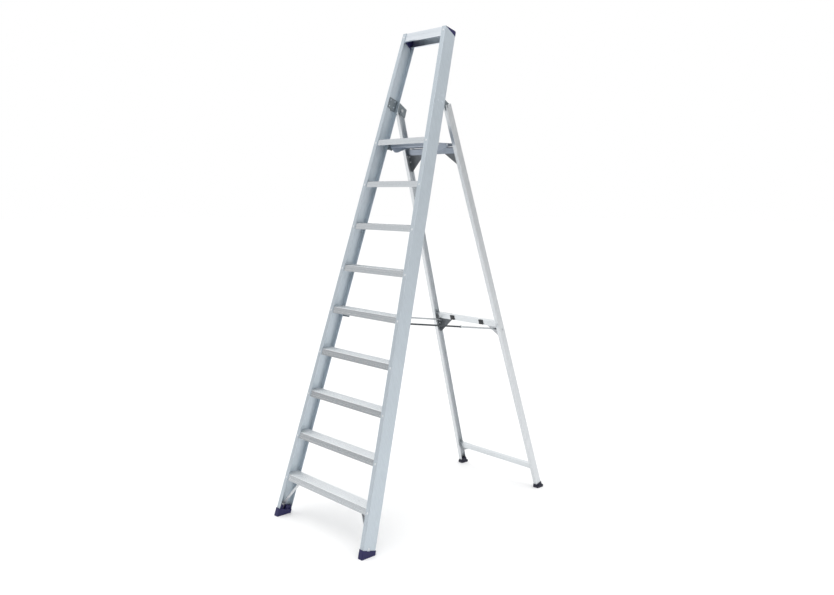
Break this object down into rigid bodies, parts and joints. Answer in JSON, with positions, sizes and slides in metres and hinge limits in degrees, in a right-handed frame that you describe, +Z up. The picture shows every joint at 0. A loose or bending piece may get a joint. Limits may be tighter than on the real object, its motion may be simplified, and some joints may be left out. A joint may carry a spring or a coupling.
{
  "type": "platform step ladder",
  "caption": "Tall folding step ladder with ribbed treads between channel stiles, a small platform, a high handrail and a braced rear frame held by folding stays.",
  "frame": {"origin": "on the floor, at the middle of the box around the opened ladder", "axes": "+X across the ladder to the right of someone climbing it, +Y the way the climber faces, +Z up"},
  "size_m": [0.842, 1.5978, 2.89],
  "materials": {
    "stile_aluminium": "satin extruded aluminium, fine lengthwise lines",
    "tread_aluminium": "ribbed extruded aluminium, slightly brighter on the ribs",
    "navy_plastic": "dark navy moulded plastic, low sheen",
    "rivet_aluminium": "bright aluminium rivets",
    "knee_aluminium": "plain aluminium strap",
    "hinge_steel": "zinc plated steel, mid grey",
    "pin_steel": "bright zinc plated steel",
    "leg_aluminium": "light satin aluminium",
    "gusset_aluminium": "dark grey sheet",
    "black_plastic": "black moulded plastic",
    "deck_aluminium": "ribbed extruded aluminium",
    "stay_steel": "dark plated flat bar"
  },
  "bodies": {
    "front_frame": {"stile_left": "stile_aluminium", "stile_right": "stile_aluminium", "tread_1": "tread_aluminium", "tread_2": "tread_aluminium", "tread_3": "tread_aluminium", "tread_4": "tread_aluminium", "tread_5": "tread_aluminium", "tread_6": "tread_aluminium", "tread_7": "tread_aluminium", "tread_8": "tread_aluminium", "tread_9": "tread_aluminium", "top_rail": "tread_aluminium", "top_cap_left": "navy_plastic", "top_cap_right": "navy_plastic", "frame_rivets": "rivet_aluminium", "knee_brace_left": "knee_aluminium", "knee_brace_right": "knee_aluminium", "front_foot_left": "navy_plastic", "front_foot_right": "navy_plastic", "hinge_plate_left": "hinge_steel", "hinge_plate_right": "hinge_steel", "hinge_ear_left": "hinge_steel", "hinge_ear_right": "hinge_steel", "hinge_bolts": "pin_steel", "hinge_spacers": "pin_steel", "bracket_rivets": "rivet_aluminium", "platform_bracket_left": "hinge_steel", "platform_bracket_right": "hinge_steel", "platform_pins": "pin_steel", "stay_bracket_left": "hinge_steel", "stay_bracket_right": "hinge_steel", "stay_front_pivots": "pin_steel"},
    "rear_frame": {"rear_leg_left": "leg_aluminium", "rear_leg_right": "leg_aluminium", "upper_brace": "leg_aluminium", "mid_brace": "leg_aluminium", "lower_brace": "leg_aluminium", "upper_gusset_left": "gusset_aluminium", "upper_gusset_right": "gusset_aluminium", "mid_gusset_left": "gusset_aluminium", "mid_gusset_right": "gusset_aluminium", "lower_gusset_left": "leg_aluminium", "lower_gusset_right": "leg_aluminium", "gusset_rivets": "rivet_aluminium", "brace_clips": "black_plastic", "rear_foot_left": "navy_plastic", "rear_foot_right": "navy_plastic", "stay_rear_pivots": "pin_steel"},
    "platform": {"platform_deck": "deck_aluminium", "platform_cheek_left": "deck_aluminium", "platform_cheek_right": "deck_aluminium", "cheek_rivets": "rivet_aluminium"},
    "stay_front_left": {"stay_front_link_left": "stay_steel", "knuckle_front_left": "pin_steel"},
    "stay_rear_left": {"stay_rear_link_left": "stay_steel", "knuckle_rear_left": "pin_steel"},
    "stay_front_right": {"stay_front_link_right": "stay_steel", "knuckle_front_right": "pin_steel"},
    "stay_rear_right": {"stay_rear_link_right": "stay_steel", "knuckle_rear_right": "pin_steel"}
  },
  "joints": [
    {"name": "rear_fold", "type": "hinge", "parent": "front_frame", "child": "rear_frame", "pos_m": [0, 0.02435, 2.432], "axis": [-1, 0, 0], "range_deg": [0, 33]},
    {"name": "platform_lift", "type": "hinge", "parent": "front_frame", "child": "platform", "pos_m": [0, -0.05473, 2.211], "axis": [1, 0, 0], "range_deg": [0, 74]},
    {"name": "stay_front_left_turn", "type": "hinge", "parent": "front_frame", "child": "stay_front_left", "pos_m": [-0.25482, -0.34575, 1.203], "axis": [-1, 0, 0], "range_deg": [0, 96.02]},
    {"name": "stay_rear_left_turn", "type": "hinge", "parent": "rear_frame", "child": "stay_rear_left", "pos_m": [-0.25482, 0.44288, 1.087], "axis": [1, 0, 0], "range_deg": [0, 113.48]},
    {"name": "stay_front_right_turn", "type": "hinge", "parent": "front_frame", "child": "stay_front_right", "pos_m": [0.25482, -0.34575, 1.203], "axis": [-1, 0, 0], "range_deg": [0, 96.02]},
    {"name": "stay_rear_right_turn", "type": "hinge", "parent": "rear_frame", "child": "stay_rear_right", "pos_m": [0.25482, 0.44288, 1.087], "axis": [1, 0, 0], "range_deg": [0, 113.48]}
  ],
  "couplings": [
    {"joint": "platform_lift", "follows": "rear_fold", "ratio": 2.2424},
    {"joint": "stay_front_left_turn", "follows": "rear_fold", "ratio": 2.9098},
    {"joint": "stay_rear_left_turn", "follows": "rear_fold", "ratio": 3.4389},
    {"joint": "stay_front_right_turn", "follows": "rear_fold", "ratio": 2.9098},
    {"joint": "stay_rear_right_turn", "follows": "rear_fold", "ratio": 3.4389}
  ]
}
